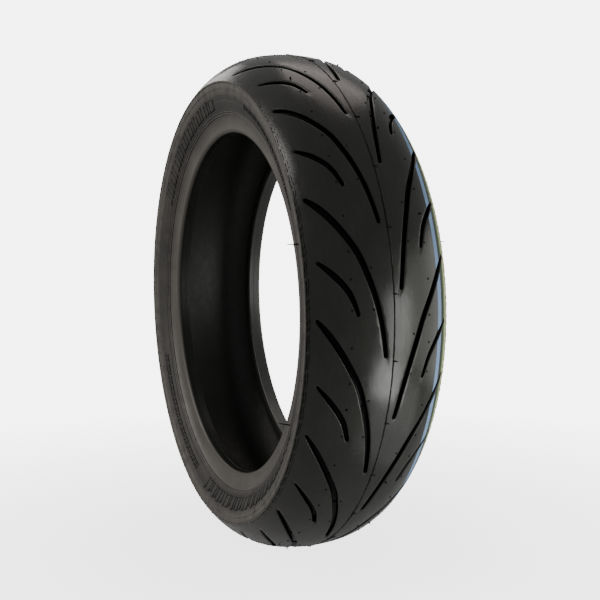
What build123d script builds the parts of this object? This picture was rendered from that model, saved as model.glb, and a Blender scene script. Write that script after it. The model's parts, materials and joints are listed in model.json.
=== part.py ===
# A 180/55-17 radial rear motorcycle tyre, off its rim and standing upright.
# Millimetres. The spin axis is +Y, +Z is up and the origin is the centre of the tyre.
# Every section is drawn in the Y-Z plane as (y, r) and revolved about Y.
# "Lean" is the angle in degrees between a layer's outward normal and the radial direction.
import os
from math import cos, degrees, radians, sin

from build123d import *

os.makedirs("parts", exist_ok=True)

# Overall size
outer_radius = 315.0
seat_radius = 216.5
heel_half_width = 65.5
toe_half_width = 47.2

# Running surface: a flatter crown arc that runs into a tighter shoulder arc
crown_radius = 172.0
crown_lean = 10.5
shoulder_radius = 87.0
edge_lean = 52.5

# Depth of each layer's inner face below the running surface
cap_depth = 6.5
base_depth = 8.0
outer_belt_depth = 9.1
inner_belt_depth = 10.2
ply_thickness = 1.0
liner_thickness = 1.0
outer_belt_lean = 49.0
inner_belt_lean = 46.0
belt_strips = 15
strip_gap = 0.3

# Casing: the carcass follows the crown, turns down the sidewall and wraps each bead
casing_turn_lean = 48.0
sidewall_turn_radius = 20.0
casing_slope_lean = 140.0
bead_entry_radius = 4.0
turn_up_lean = -65.0
turn_up_radius = 10.0
turn_up_lap = 4.0
filler_tail = 0.4

# Bead: a square bundle of wire rings in its own rubber, inside a fabric wrap
wires_per_side = 3
wire_diameter = 2.0
core_size = 7.0
wrap_thickness = 0.6
wrap_corner_radius = 1.0
chafer_thickness = 1.0

# Where the rubbers of the sidewall meet: cushion against casing, sidewall against rim cushion
cushion_lean = 72.0
cushion_top = 236.0

# Outside of the bead and sidewall
heel_radius = 4.5
toe_radius = 1.5
toe_lip = 7.0
flange_flat_top = 224.5
flange_top = (70.2, 238.0)
sidewall_bulge = 2.6

# Tread pattern: each pitch has a long and a short groove on each half of the tread
pitches = 14
pitch_angle = 360.0 / pitches
first_groove = 13.1
short_groove_lag = 13.9
groove_depth = 5.6
groove_draft = 8.0
cutter_height = 2.0
# (angle from the groove's outer end, distance from the crown along the surface, width)
long_groove = [
    (0.0, 85.0, 4.0),
    (2.5, 73.0, 7.0),
    (5.5, 61.0, 7.4),
    (9.0, 49.0, 7.2),
    (13.0, 37.0, 7.0),
    (17.5, 28.0, 6.6),
    (22.0, 20.5, 6.0),
    (27.0, 14.3, 5.4),
    (33.3, 8.7, 4.6),
]
short_groove = [
    (0.0, 81.5, 3.2),
    (2.4, 67.5, 6.2),
    (5.1, 54.5, 6.4),
    (7.5, 46.5, 5.8),
    (11.3, 39.2, 4.2),
]

# Wear bars stand on the floor of the long grooves
wear_bar_height = 1.0
wear_bar_length = 8.0
wear_bar_clearance = 0.3
wear_bar_stations = (3, 5)

# Painted bands on the +Y shoulder: distance from the crown to each edge
paint_thickness = 0.15
stripes = {"stripe_blue": (63.0, 71.5), "stripe_green": (78.5, 81.0), "stripe_cream": (82.5, 90.5)}

# Ribs and blank panels moulded on each sidewall, by radius
rim_line_radii = (239.2, 242.0)
rim_line_width = 1.0
rim_line_height = 0.5
edge_rib_width = 1.4
edge_rib_drop = 1.0
edge_rib_height = 0.5
panel_height = 0.5
# (lowest radius, highest radius, start angle, sweep)
panel_rows = (
    (247.0, 260.0, 303.0, 50.0),
    (247.0, 261.0, 120.0, 76.0),
    (253.5, 258.0, 6.0, 48.0),
    (251.5, 257.5, 204.0, 46.0),
)

# Vent stubs left by the mould: (angle after the long groove's outer end, distance from the crown)
vent_radius = 0.9
vent_height = 0.5
tread_vents = (
    (16.0, 24.0),
    (23.9, 23.0),
    (5.5, 46.2),
    (12.6, 46.2),
    (18.0, 46.2),
    (24.0, 46.2),
)

crown_centre = (0.0, outer_radius - crown_radius)
crown_length = crown_radius * radians(crown_lean)


def along(point, lean, distance):
    """The point moved along the normal that leans by `lean`."""
    return (point[0] + distance * sin(radians(lean)), point[1] + distance * cos(radians(lean)))


shoulder_centre = along(crown_centre, crown_lean, crown_radius - shoulder_radius)
tread_edge = along(shoulder_centre, edge_lean, shoulder_radius)


def arc(centre, radius, start, end):
    """Three points of an arc between two leans."""
    return [along(centre, lean, radius) for lean in (start, (start + end) / 2, end)]


def crown_curves(depth, lean):
    """The +Y half of the surface `depth` below the running surface, out to `lean`."""
    return [
        arc(crown_centre, crown_radius - depth, 0, crown_lean),
        arc(shoulder_centre, shoulder_radius - depth, crown_lean, lean),
    ]


def backwards(curves):
    """The same curves drawn the other way."""
    return [list(reversed(curve)) for curve in reversed(curves)]


def other_side(curves):
    """The curves mirrored to the -Y half."""
    return [[(-y, r) for y, r in curve] for curve in curves]


def both_sides(curves):
    """A +Y half that starts on the centre line, drawn from the -Y end to the +Y end."""
    return other_side(backwards(curves)) + curves


class Walk:
    """A line of tangent legs along a layer, each of which can be drawn at any depth."""

    def __init__(self, point, lean):
        self.point, self.lean, self.legs = point, lean, []

    def turn(self, lean, radius):
        """Turn to `lean`; a falling lean hollows the face, so its centre is outside."""
        bend = radius if lean > self.lean else -radius
        centre = along(self.point, self.lean, -bend)
        self.legs.append((centre, bend, self.lean, lean))
        self.point, self.lean = along(centre, lean, bend), lean

    def line(self, length):
        """Go straight on."""
        start = self.point
        ahead = radians(self.lean)
        self.point = (start[0] + length * cos(ahead), start[1] - length * sin(ahead))
        self.legs.append((start, self.point, self.lean))

    def curves(self, depth, first=0, last=None):
        """Points of legs first to last, `depth` inside the face."""
        drawn = []
        for leg in self.legs[first:last]:
            if len(leg) == 3:
                drawn.append([along(leg[0], leg[2], -depth), along(leg[1], leg[2], -depth)])
            else:
                centre, bend, start, end = leg
                drawn.append(arc(centre, bend - depth, start, end))
        return drawn


# The carcass' outer face on the +Y side, from the crown to the end of the turn-up
wire_pitch = core_size / wires_per_side
wrap_size = core_size + 2 * wrap_thickness
plies = 2 * ply_thickness
wrap_inner = toe_half_width + liner_thickness + plies
wrap_bottom = seat_radius + chafer_thickness + plies
wrap_top = wrap_bottom + wrap_size
wrap_outer = wrap_inner + wrap_size

casing = Walk((0.0, outer_radius - inner_belt_depth), 0.0)
casing.turn(crown_lean, crown_radius - inner_belt_depth)
casing.turn(casing_turn_lean, shoulder_radius - inner_belt_depth)
casing.turn(casing_slope_lean, sidewall_turn_radius)
slope_start = casing.point
slope = radians(casing_slope_lean)
entry_shift = bead_entry_radius * (1 - sin(slope))
casing.line((slope_start[0] - wrap_inner - entry_shift) / -cos(slope))
casing.turn(90.0, bead_entry_radius)
casing.line(casing.point[1] - wrap_bottom - wrap_corner_radius)
casing.turn(0.0, wrap_corner_radius)
casing.line(wrap_size - 2 * wrap_corner_radius)
casing.turn(-90.0, wrap_corner_radius)
casing.line(wrap_size - wrap_corner_radius)
casing.turn(turn_up_lean, turn_up_radius)
lap_lean = casing_slope_lean - 180.0


def turn_up_length():
    """Length of the turn-up's straight run, whose bend ends beside the casing's slope."""
    bend = Walk(casing.point, casing.lean)
    bend.turn(lap_lean, turn_up_radius)
    normal = (sin(slope), cos(slope))
    gap = sum((s - p) * n for s, p, n in zip(slope_start, bend.point, normal)) + filler_tail
    rise = (cos(radians(turn_up_lean)), -sin(radians(turn_up_lean)))
    return gap / sum(d * n for d, n in zip(rise, normal))


casing.line(turn_up_length())
casing.turn(lap_lean, turn_up_radius)
casing.line(turn_up_lap)
filler_tip = along(casing.point, casing_slope_lean, -filler_tail)
slope_leg, entry_leg, inner_leg, under_leg, outer_leg, rise_leg, lap_leg = 3, 4, 5, 7, 9, 11, 13


def sidewall_arc():
    """Centre, radius and end leans of the sidewall's outer face."""
    across = tread_edge[0] - flange_top[0]
    up = tread_edge[1] - flange_top[1]
    chord = (across**2 + up**2) ** 0.5
    radius = chord**2 / (8 * sidewall_bulge) + sidewall_bulge / 2
    back = radius - sidewall_bulge
    middle = ((tread_edge[0] + flange_top[0]) / 2, (tread_edge[1] + flange_top[1]) / 2)
    centre = (middle[0] - back * up / chord, middle[1] + back * across / chord)
    return centre, radius


wall_centre, wall_radius = sidewall_arc()


def wall_point(r, height=0.0):
    """The point of the sidewall's outer face at radius r, raised by `height`."""
    across = (wall_radius**2 - (r - wall_centre[1]) ** 2) ** 0.5
    grow = height / wall_radius
    return (wall_centre[0] + across * (1 + grow), r + (r - wall_centre[1]) * grow)


def wall_curve(low, high, height=0.0):
    """The sidewall's outer face between two radii, raised by `height`."""
    return [wall_point(r, height) for r in (low, (low + high) / 2, high)]


def draw(curves):
    """A closed outline through the curves in order, joined by straight lines."""
    pen = curves[-1][-1]
    for curve in curves:
        if (Vector(*pen) - Vector(*curve[0])).length > 1e-5:
            Line(pen, curve[0])
        if len(curve) == 2:
            Line(*curve)
        else:
            ThreePointArc(*curve)
        pen = curve[-1]


def ring(label, *sections, arc_size=360.0, start=0.0):
    """Sections in the Y-Z plane revolved about the tyre's axis."""
    with BuildPart() as piece:
        with BuildSketch(Plane.YZ):
            for curves in sections:
                with BuildLine():
                    draw(curves)
                make_face()
        revolve(axis=Axis.Y, revolution_arc=arc_size)
    piece.part.label = label
    return piece.part.moved(spin(start)) if start else piece.part


def spin(angle):
    """A turn about the tyre's axis, from +Z towards +X."""
    return Location((0, 0, 0), (0, angle, 0))


def save(shape, label):
    """Name a finished piece and write it."""
    shape.label = label
    export_step(shape, f"parts/{label}.step")
    print(label, len(shape.solids()), round(shape.volume))


def lean_at(distance):
    """Lean of the running surface at a distance from the crown along the surface."""
    if abs(distance) <= crown_length:
        lean = abs(distance) / crown_radius
    else:
        lean = crown_length / crown_radius + (abs(distance) - crown_length) / shoulder_radius
    return degrees(lean) * (1 if distance >= 0 else -1)


def surface_point(angle, distance, height=0.0):
    """A point of the running surface, `height` above it, and its normal."""
    lean = lean_at(distance)
    side = 1 if distance >= 0 else -1
    if abs(lean) <= crown_lean:
        y, r = along(crown_centre, abs(lean), crown_radius + height)
    else:
        y, r = along(shoulder_centre, abs(lean), shoulder_radius + height)
    turn = radians(angle)
    out = sin(radians(lean)), cos(radians(lean))
    point = Vector(r * sin(turn), side * y, r * cos(turn))
    normal = Vector(out[1] * sin(turn), out[0], out[1] * cos(turn))
    return point, normal


def groove_sections(path, side, top, bottom, trim=0.0):
    """Cross-sections of a groove's channel between two heights about the running surface."""
    sections = []
    for i, (angle, distance, width) in enumerate(path):
        before = path[max(i - 1, 0)]
        after = path[min(i + 1, len(path) - 1)]
        ahead = surface_point(after[0], side * after[1])[0]
        behind = surface_point(before[0], side * before[1])[0]
        point, normal = surface_point(angle, side * distance)
        along_path = (ahead - behind).normalized()
        across = normal.cross(along_path).normalized()
        half = width / 2 - trim
        draft = sin(radians(groove_draft))
        high, low = half + draft * top, max(half + draft * bottom, 0.35)
        with BuildSketch(Plane(point, x_dir=across, z_dir=along_path)) as section:
            with BuildLine():
                Polyline((-high, top), (high, top), (low, bottom), (-low, bottom), close=True)
            make_face()
        sections.append(section.sketch)
    return sections


def groove_cutter(path, side):
    """The solid that one groove takes out of the tread."""
    with BuildPart() as cutter:
        loft(groove_sections(path, side, cutter_height, -groove_depth))
    return cutter.part


def pitch_turns(lag, side):
    """Where a feature of one pitch stands round the tyre; the +Y half is half a pitch on."""
    start = first_groove + lag + (pitch_angle / 2 if side > 0 else 0.0)
    return [start + i * pitch_angle for i in range(pitches)]


def all_cutters(side):
    """Every groove cutter of one half of the tread."""
    cutters = []
    for path, lag in ((long_groove, 0.0), (short_groove, short_groove_lag)):
        cutter = groove_cutter(path, side)
        cutters += [cutter.moved(spin(turn)) for turn in pitch_turns(lag, side)]
    return cutters


left_cutters = all_cutters(-1)
right_cutters = all_cutters(1)


def band(outer, inner, lean):
    """Section of a layer between two depths that spans the tread to a lean on each side."""
    top = both_sides(crown_curves(outer, lean))
    bottom = both_sides(crown_curves(inner, lean))
    return top + backwards(bottom)


def tread_cap():
    """The running rubber, with its grooves."""
    blank = ring("tread_cap", band(0, cap_depth, edge_lean))
    with BuildPart() as cap:
        add(blank)
        add(left_cutters + right_cutters, mode=Mode.SUBTRACT)
    return cap.part


def belt_outer():
    """The zero-degree belt: flat strips wound side by side round the crown."""
    reach = crown_length + shoulder_radius * radians(outer_belt_lean - crown_lean)
    step = 2 * reach / belt_strips
    pieces = []
    for i in range(belt_strips):
        low = -reach + i * step + strip_gap / 2
        high = low + step - strip_gap
        pieces.append(strip(low, high, base_depth, outer_belt_depth))
    return ring("belt_outer", *pieces)


def strip(low, high, outer, inner):
    """Section of a strip between two distances from the crown and two depths."""
    def face(depth):
        stops = [low, high]
        for bend in (-crown_length, crown_length):
            if low < bend < high:
                stops.insert(1, bend)
        curves = []
        for a, b in zip(stops, stops[1:]):
            curves.append([flat_point(d, -depth) for d in (a, (a + b) / 2, b)])
        return curves

    return face(outer) + backwards(face(inner))


def flat_point(distance, height):
    """(y, r) of a point `height` above the running surface."""
    point = surface_point(0, distance, height)[0]
    return (point.Y, point.Z)


def shoulder_cushion():
    """The wedge that fills the belt edges between tread base, casing and sidewall."""
    under_base = [arc(shoulder_centre, shoulder_radius - base_depth, outer_belt_lean, edge_lean)]
    casing_end = arc(*casing_turn(), casing_turn_lean, cushion_lean)
    belt_side = [
        arc(shoulder_centre, shoulder_radius - inner_belt_depth, casing_turn_lean, inner_belt_lean),
        arc(
            shoulder_centre, shoulder_radius - outer_belt_depth, inner_belt_lean, outer_belt_lean
        ),
    ]
    return under_base + backwards([casing_end]) + belt_side


def casing_turn():
    """Centre and radius of the casing's bend from shoulder to sidewall."""
    centre, bend, _, _ = casing.legs[2]
    return centre, bend


def sidewall():
    """Outer sidewall rubber from the tread edge to the top of the rim flange."""
    cap_end = [along(shoulder_centre, edge_lean, shoulder_radius - base_depth)]
    down_casing = [arc(*casing_turn(), cushion_lean, casing_slope_lean)]
    down_casing.append([casing.legs[slope_leg][0], filler_tip])
    lap = backwards(casing.curves(ply_thickness, rise_leg + 1, lap_leg + 1))
    split = backwards(casing.curves(plies, rise_leg, rise_leg + 1))[0]
    share = (split[0][1] - cushion_top) / (split[0][1] - split[1][1])
    stop = tuple(a + (b - a) * share for a, b in zip(split[0], split[1]))
    return (
        [[tread_edge, cap_end[0]]]
        + down_casing
        + lap
        + [[split[0], stop]]
        + [[flange_top, *wall_curve(flange_top[1], tread_edge[1])[1:]]]
    )


def rim_cushion():
    """Bead rubber behind the rim flange, from the heel to the foot of the sidewall."""
    split = casing.curves(plies, rise_leg, rise_leg + 1)[0]
    share = (cushion_top - split[0][1]) / (split[1][1] - split[0][1])
    top = tuple(a + (b - a) * share for a, b in zip(split[0], split[1]))
    inside = casing.curves(plies, outer_leg, rise_leg)
    flat_top = (heel_half_width, flange_flat_top)
    rise = flange_top[1] - flange_flat_top
    out = flange_top[0] - heel_half_width
    bend = (out**2 + rise**2) / (2 * out)
    centre = (heel_half_width + bend, flange_flat_top)
    half = ((heel_half_width + flange_top[0]) / 2, (flange_flat_top + flange_top[1]) / 2)
    away = ((half[0] - centre[0]) ** 2 + (half[1] - centre[1]) ** 2) ** 0.5
    middle = tuple(c + (h - c) * bend / away for c, h in zip(centre, half))
    heel = (heel_half_width, seat_radius + heel_radius)
    return inside + [[split[0], top], [flange_top, middle, flat_top], [flat_top, heel]]


def chafer():
    """The strip that wraps the bead base from the toe lip round to the heel."""
    lip_top = (toe_half_width, seat_radius + toe_lip)
    inside = casing.curves(plies, inner_leg, outer_leg)
    inside[0][0] = (toe_half_width + liner_thickness, lip_top[1])
    heel_centre = (heel_half_width - heel_radius, seat_radius + heel_radius)
    toe_centre = (toe_half_width + toe_radius, seat_radius + toe_radius)
    return (
        inside
        + [arc(heel_centre, heel_radius, 90, 180)]
        + [arc(toe_centre, toe_radius, 180, 270), [(toe_half_width, toe_centre[1]), lip_top]]
    )


def inner_liner():
    """The airtight skin inside the carcass, from toe lip to toe lip."""
    def face(depth):
        curves = casing.curves(depth, 0, inner_leg + 1)
        curves[-1][1] = (curves[-1][0][0], seat_radius + toe_lip)
        return curves

    outer = both_sides(face(plies))
    return outer + backwards(both_sides(face(plies + liner_thickness)))


def carcass(outer, inner, last):
    """Section of a carcass ply from turn-up to turn-up."""
    return both_sides(casing.curves(outer, 0, last)) + backwards(
        both_sides(casing.curves(inner, 0, last))
    )


def bead_filler():
    """The hard rubber wedge on top of the bead, between the carcass and its turn-up."""
    rise = casing.curves(0, rise_leg - 1, lap_leg + 1)
    down = [[filler_tip, casing.legs[slope_leg][1]]] + casing.curves(0, entry_leg, inner_leg)
    return [[(wrap_inner, wrap_top), (wrap_outer, wrap_top)]] + rise + down


def bead_wrap():
    """The fabric wrap round the bead bundle."""
    low = casing.curves(0, inner_leg, rise_leg - 1)
    low[0][0] = (wrap_inner, wrap_top)
    return low


def core_square():
    """Outline of the bead bundle."""
    low_y, low_r = wrap_inner + wrap_thickness, wrap_bottom + wrap_thickness
    high_y, high_r = low_y + core_size, low_r + core_size
    corners = [(low_y, low_r), (high_y, low_r), (high_y, high_r), (low_y, high_r)]
    return [[a, b] for a, b in zip(corners, corners[1:] + corners[:1])]


def bead_wires():
    """The wire rings of one bead, side by side and row on row."""
    first_y = wrap_inner + wrap_thickness + wire_pitch / 2
    first_r = wrap_bottom + wrap_thickness + wire_pitch / 2
    with BuildPart() as wires:
        with BuildSketch(Plane.YZ):
            for column in range(wires_per_side):
                for row in range(wires_per_side):
                    place = (first_y + column * wire_pitch, first_r + row * wire_pitch)
                    with Locations(place):
                        Circle(wire_diameter / 2)
        revolve(axis=Axis.Y)
    return wires.part


def hollowed(blank, core):
    """A ring with another piece's shape taken out of it."""
    with BuildPart() as piece:
        add(blank)
        add(core, mode=Mode.SUBTRACT)
    return piece.part


def joined(shapes):
    """Separate shapes as one piece."""
    with BuildPart() as piece:
        add(shapes)
    return piece.part


def raised_line(low, high, height):
    """Section of a raised ring on the sidewall, with flanks that slope to a narrower top."""
    inset = (high - low) / 4
    foot, other_foot = wall_point(low), wall_point(high)
    top, other_top = wall_point(low + inset, height), wall_point(high - inset, height)
    return [[foot, top], [top, other_top], [other_top, other_foot], [other_foot, foot]]


def rim_lines():
    """Fine raised rings above the rim flange."""
    half = rim_line_width / 2
    return [raised_line(r - half, r + half, rim_line_height) for r in rim_line_radii]


def edge_rib():
    """The thin raised ring where the sidewall meets the tread edge."""
    high = tread_edge[1] - edge_rib_drop
    return raised_line(high - edge_rib_width, high, edge_rib_height)


def marking_panels():
    """Blank raised panels in rows round the sidewall."""
    with BuildPart() as panels:
        for low, high, start, size in panel_rows:
            outline = [wall_curve(low, high, panel_height)] + backwards([wall_curve(low, high)])
            add(ring("panel", outline, arc_size=size).moved(spin(start)))
    return panels.part


def left_of(shape):
    """The same piece for the -Y side."""
    return mirror(shape, about=Plane.XZ)


def painted_stripe(low, high):
    """A painted band on the +Y shoulder, broken by the grooves."""
    blank = ring("stripe", strip(low, high, -paint_thickness, 0))
    return hollowed(blank, right_cutters)


def wear_bars():
    """Bars across the floor of the long grooves."""
    bars = []
    for side in (-1, 1):
        for station in wear_bar_stations:
            angle, distance, width = long_groove[station]
            after = long_groove[station + 1]
            ahead = surface_point(after[0], side * after[1])[0]
            share = wear_bar_length / (ahead - surface_point(angle, side * distance)[0]).length
            end = [a + (b - a) * share for a, b in zip((angle, distance, width), after)]
            high = wear_bar_height - groove_depth
            low = wear_bar_clearance - groove_depth
            ends = groove_sections(
                [(angle, distance, width), tuple(end)], side, high, low, wear_bar_clearance
            )
            with BuildPart() as bar:
                loft(ends)
            bars += [bar.part.moved(spin(turn)) for turn in pitch_turns(0.0, side)]
    return joined(bars)


def vents():
    """Short round stubs on the tread blocks."""
    stubs = []
    for side in (-1, 1):
        for lag, distance in tread_vents:
            point, normal = surface_point(0, side * distance)
            with BuildPart() as stub:
                with BuildSketch(Plane(point, z_dir=normal)):
                    Circle(vent_radius)
                extrude(amount=vent_height)
            stubs += [stub.part.moved(spin(turn)) for turn in pitch_turns(lag, side)]
    return joined(stubs)


save(tread_cap(), "tread_cap")
save(ring("tread_base", band(cap_depth, base_depth, edge_lean)), "tread_base")
save(belt_outer(), "belt_outer")
save(ring("belt_inner", band(outer_belt_depth, inner_belt_depth, inner_belt_lean)), "belt_inner")
save(ring("carcass_outer", carcass(0, ply_thickness, lap_leg + 1)), "carcass_outer")
save(ring("carcass_inner", carcass(ply_thickness, plies, rise_leg + 1)), "carcass_inner")
save(ring("inner_liner", inner_liner()), "inner_liner")

sides = {
    "shoulder_cushion": ring("right", shoulder_cushion()),
    "sidewall": ring("right", sidewall()),
    "rim_cushion": ring("right", rim_cushion()),
    "chafer": ring("right", chafer()),
    "bead_filler": ring("right", bead_filler()),
    "bead_wires": bead_wires(),
    "bead_wrap": hollowed(ring("right", bead_wrap()), ring("core", core_square())),
    "rim_lines": ring("right", *rim_lines()),
    "edge_rib": ring("right", edge_rib()),
    "marking_panels": marking_panels(),
}
for name, shape in sides.items():
    save(shape, f"{name}_right")
    save(left_of(shape), f"{name}_left")

bead_square = ring("core", core_square())
save(hollowed(bead_square, sides["bead_wires"]), "bead_rubber_right")
save(hollowed(left_of(bead_square), left_of(sides["bead_wires"])), "bead_rubber_left")

for name, (low, high) in stripes.items():
    save(painted_stripe(low, high), name)
save(wear_bars(), "wear_bars")
save(vents(), "tread_vents")
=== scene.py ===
# A rear motorcycle tyre off its rim, standing on a pale floor.
# Blender 4.5. Lengths in this script are millimetres until a mesh is written, which is in metres.
# The spin axis is +Y, the origin is the tyre's centre, and angles run from +Z towards +X.
# "Distance" is measured along the running surface from the crown, negative on the -Y half.
import json
from collections import namedtuple
from math import atan2, ceil, cos, degrees, pi, radians, sin, sqrt, tan

import bmesh
import bpy
import numpy as np
from mathutils import Matrix, Vector
from mathutils.geometry import delaunay_2d_cdt


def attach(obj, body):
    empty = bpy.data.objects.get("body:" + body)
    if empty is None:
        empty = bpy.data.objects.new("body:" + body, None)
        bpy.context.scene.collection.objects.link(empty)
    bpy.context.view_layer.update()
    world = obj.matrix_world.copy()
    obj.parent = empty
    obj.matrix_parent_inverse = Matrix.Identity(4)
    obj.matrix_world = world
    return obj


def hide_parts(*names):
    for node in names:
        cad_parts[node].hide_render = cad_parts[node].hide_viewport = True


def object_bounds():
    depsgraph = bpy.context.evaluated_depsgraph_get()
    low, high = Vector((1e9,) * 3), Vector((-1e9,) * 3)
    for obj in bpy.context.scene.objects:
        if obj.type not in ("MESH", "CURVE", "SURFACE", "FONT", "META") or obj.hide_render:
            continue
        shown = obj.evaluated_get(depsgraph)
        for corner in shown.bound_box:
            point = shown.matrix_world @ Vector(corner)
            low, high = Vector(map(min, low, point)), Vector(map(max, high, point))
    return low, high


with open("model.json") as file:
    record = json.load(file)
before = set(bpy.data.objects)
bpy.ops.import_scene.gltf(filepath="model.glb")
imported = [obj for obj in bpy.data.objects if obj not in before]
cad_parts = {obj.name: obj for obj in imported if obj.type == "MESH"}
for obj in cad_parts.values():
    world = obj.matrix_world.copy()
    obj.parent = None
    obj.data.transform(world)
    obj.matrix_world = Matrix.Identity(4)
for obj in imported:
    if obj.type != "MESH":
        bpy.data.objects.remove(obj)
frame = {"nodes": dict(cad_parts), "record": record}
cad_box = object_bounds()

MM = 0.001

# Overall size and running surface, as in the frame
outer_radius = 315.0
seat_radius = 216.5
crown_radius = 172.0
crown_lean = radians(10.5)
shoulder_radius = 87.0
edge_lean = radians(52.5)
crown_centre = (0.0, outer_radius - crown_radius)
crown_length = crown_radius * crown_lean
edge_distance = crown_length + shoulder_radius * (edge_lean - crown_lean)

# Tread pattern
pitches = 14
pitch_angle = 360.0 / pitches
first_groove = 13.1
short_groove_lag = 13.9
groove_depth = 5.6
wall_draft = radians(8.0)
cap_depth = 6.5
# (angle from the groove's outer end, distance from the crown, width)
long_groove = [
    (0.0, 85.0, 4.0), (2.5, 73.0, 7.0), (5.5, 61.0, 7.4), (9.0, 49.0, 7.2), (13.0, 37.0, 7.0),
    (17.5, 28.0, 6.6), (22.0, 20.5, 6.0), (27.0, 14.3, 5.4), (33.3, 8.7, 4.6),
]
short_groove = [
    (0.0, 81.5, 3.2), (2.4, 67.5, 6.2), (5.1, 54.5, 6.4), (7.5, 46.5, 5.8), (11.3, 39.2, 4.2),
]
stripes = {"stripe_blue": (63.0, 71.5), "stripe_green": (78.5, 81.0), "stripe_cream": (82.5, 90.5)}

# Sidewall, flange and bead, on the +Y side as (y, r)
flange_top = (70.2, 238.0)
sidewall_bulge = 2.6
heel_half_width = 65.5
flange_flat_top = 224.5
heel_radius = 4.5
toe_half_width = 47.2
toe_radius = 1.5
skin = 1.1


# ---------- sections ----------

def along(point, lean, distance):
    """The (y, r) point moved along the normal that leans by `lean` from the radial direction."""
    return (point[0] + distance * sin(lean), point[1] + distance * cos(lean))


shoulder_centre = along(crown_centre, crown_lean, crown_radius - shoulder_radius)
tread_edge = along(shoulder_centre, edge_lean, shoulder_radius)


def lean_at(distance):
    """Outward lean of the running surface at a distance from the crown."""
    size = abs(distance)
    if size <= crown_length:
        return size / crown_radius
    return crown_lean + (size - crown_length) / shoulder_radius


def tread_point(distance, height=0.0):
    """(y, r) of the running surface, `height` above it."""
    lean = lean_at(distance)
    if lean <= crown_lean:
        y, r = along(crown_centre, lean, crown_radius + height)
    else:
        y, r = along(shoulder_centre, lean, shoulder_radius + height)
    return (y if distance >= 0 else -y, r)


def turned(y, r, angle):
    """The point (y, r) of a section at an angle in degrees round the tyre, in metres."""
    turn = radians(angle)
    return (r * sin(turn) * MM, y * MM, r * cos(turn) * MM)


def arc(centre, radius, start, end, steps):
    """Points of an arc between two leans."""
    leans = [start + (end - start) * i / steps for i in range(steps + 1)]
    return [along(centre, lean, radius) for lean in leans]


def sidewall_arc():
    """Centre and radius of the sidewall's outer face."""
    across = tread_edge[0] - flange_top[0]
    up = tread_edge[1] - flange_top[1]
    chord = sqrt(across**2 + up**2)
    radius = chord**2 / (8 * sidewall_bulge) + sidewall_bulge / 2
    back = radius - sidewall_bulge
    middle = ((tread_edge[0] + flange_top[0]) / 2, (tread_edge[1] + flange_top[1]) / 2)
    return (middle[0] - back * up / chord, middle[1] + back * across / chord), radius


wall_centre, wall_radius = sidewall_arc()


def wall_point(r, height=0.0):
    """The sidewall's outer face at radius r, raised by `height`."""
    across = sqrt(wall_radius**2 - (r - wall_centre[1]) ** 2)
    grow = height / wall_radius
    return (wall_centre[0] + across * (1 + grow), r + (r - wall_centre[1]) * grow)


# ---------- building meshes ----------

# In metres for welding, and in millimetres in the flat pattern
tiny = 1e-6


def piece_from(name, verts, faces, nodes, material, thickness=0.0, smooth_angle=40.0):
    """A mesh piece that rides on the tyre and stands for CAD nodes."""
    mesh = bpy.data.meshes.new(name)
    mesh.from_pydata(verts, [], faces)
    mesh.validate()
    build = bmesh.new()
    build.from_mesh(mesh)
    bmesh.ops.remove_doubles(build, verts=build.verts, dist=tiny)
    if thickness:
        build.normal_update()
        bmesh.ops.solidify(build, geom=build.faces[:], thickness=thickness * MM)
    bmesh.ops.recalc_face_normals(build, faces=build.faces)
    build.to_mesh(mesh)
    build.free()
    mesh.shade_smooth()
    mesh.set_sharp_from_angle(angle=radians(smooth_angle))
    mesh.materials.append(material)
    piece = bpy.data.objects.new(name, mesh)
    bpy.context.scene.collection.objects.link(piece)
    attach(piece, "root")
    if nodes:
        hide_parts(*nodes)


def lofted(first, rings, corners, closed=False):
    """Faces between rings of `corners` points each, counted from vertex `first`."""
    faces = []
    for i in range(rings if closed else rings - 1):
        a, b = first + i * corners, first + (i + 1) % rings * corners
        for k in range(corners):
            j = (k + 1) % corners
            faces.append((a + k, a + j, b + j, b + k))
    return faces


def capped(first, rings, corners):
    """Faces of a solid made of rings, with one face at each end."""
    last = first + (rings - 1) * corners
    foot = tuple(reversed(range(first, first + corners)))
    top = tuple(range(last, last + corners))
    return [*lofted(first, rings, corners), foot, top]


def revolved(outline, segments):
    """Vertices and faces of a closed (y, r) outline revolved about the tyre's axis."""
    verts = [turned(y, r, 360.0 * i / segments) for i in range(segments) for y, r in outline]
    return verts, lofted(0, segments, len(outline), closed=True)


def mirrored(outline):
    """The outline on the -Y side."""
    return [(-y, r) for y, r in outline]


# ---------- tread ----------

curve_steps = 24


def curve_rows(points):
    """Close rows of (angle, distance, width) on a smooth curve through the points."""
    rows = np.array([points[0], *points, points[-1]], float)
    rows[0] = 2 * rows[1] - rows[2]
    rows[-1] = 2 * rows[-2] - rows[-3]
    fine = []
    for i in range(1, len(rows) - 2):
        p0, p1, p2, p3 = rows[i - 1 : i + 3]
        for t in np.linspace(0, 1, curve_steps, endpoint=False):
            fine.append(
                0.5 * (2 * p1 + (p2 - p0) * t + (2 * p0 - 5 * p1 + 4 * p2 - p3) * t**2
                       + (3 * p1 - p0 - 3 * p2 + p3) * t**3)
            )
    fine.append(rows[-2])
    return np.array(fine)


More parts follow.
